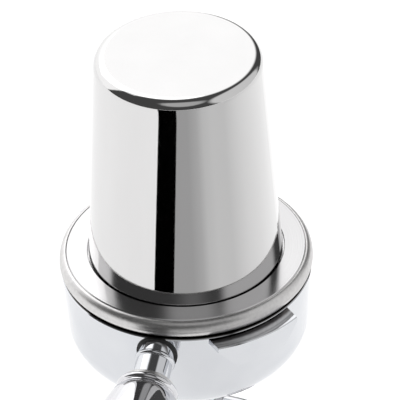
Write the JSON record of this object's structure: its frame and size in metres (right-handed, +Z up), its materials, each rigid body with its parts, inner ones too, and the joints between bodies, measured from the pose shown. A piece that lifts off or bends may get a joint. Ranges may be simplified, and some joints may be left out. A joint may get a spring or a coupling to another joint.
{
  "type": "portafilter",
  "caption": "Espresso portafilter with a double spout, two bayonet lugs and a sloping handle, its filter basket, and a dosing ring and inverted dosing cup standing on it.",
  "frame": {"origin": "centre of the basket rim's top plane, on the brewing axis", "axes": "+Z up along the brewing axis, away from the spouts; the handle points along -Y and slopes down; the spouts lie along +X and -X"},
  "size_m": [0.0704, 0.2224, 0.1381],
  "materials": {
    "body_chrome": "bright chrome plate on a cast body",
    "fitting_chrome": "bright chrome plate",
    "cup_steel": "mirror-polished stainless steel",
    "ring_steel": "fine-turned and polished stainless steel",
    "basket_steel": "satin stainless steel",
    "spring_steel": "plain stainless steel",
    "nipple_brass": "turned brass",
    "washer_plastic": "white sealing plastic",
    "seal_rubber": "moulded black rubber",
    "grip_plastic": "moulded black plastic, fine satin grain"
  },
  "bodies": {
    "portafilter": {"portafilter_body": "body_chrome", "neck_collar": "seal_rubber", "basket_spring": "spring_steel", "spout_nipple": "nipple_brass", "spout_upper_washer": "washer_plastic", "handle_stud": "spring_steel", "handle_lock_washer": "spring_steel", "handle_ferrule": "fitting_chrome", "handle_seal": "seal_rubber", "handle_insert": "nipple_brass", "handle_grip": "grip_plastic", "handle_end_cap": "fitting_chrome", "handle_end_washer": "spring_steel", "handle_end_screw": "spring_steel"},
    "lock_nut": {"spout_lock_nut": "fitting_chrome", "spout_lower_washer": "washer_plastic"},
    "spout": {"double_spout": "fitting_chrome"},
    "basket": {"filter_basket": "basket_steel"},
    "ring": {"dosing_ring": "ring_steel", "ring_seal": "seal_rubber"},
    "cup": {"dosing_cup": "cup_steel"}
  },
  "joints": [
    {"name": "basket_lift", "type": "slide", "parent": "portafilter", "child": "basket", "axis": [0, 0, 1], "range_m": [0, 0.04]},
    {"name": "ring_lift", "type": "slide", "parent": "basket", "child": "ring", "axis": [0, 0, 1], "range_m": [0, 0.03]},
    {"name": "cup_lift", "type": "slide", "parent": "ring", "child": "cup", "axis": [0, 0, 1], "range_m": [0, 0.04]},
    {"name": "spout_turn", "type": "hinge", "parent": "portafilter", "child": "spout", "pos_m": [0, 0, -0.0475], "axis": [0, 0, 1], "range_deg": [-90, 90]},
    {"name": "lock_nut_turn", "type": "hinge", "parent": "portafilter", "child": "lock_nut", "pos_m": [0, 0, -0.043], "axis": [0, 0, 1], "range_deg": [-60, 60]}
  ]
}
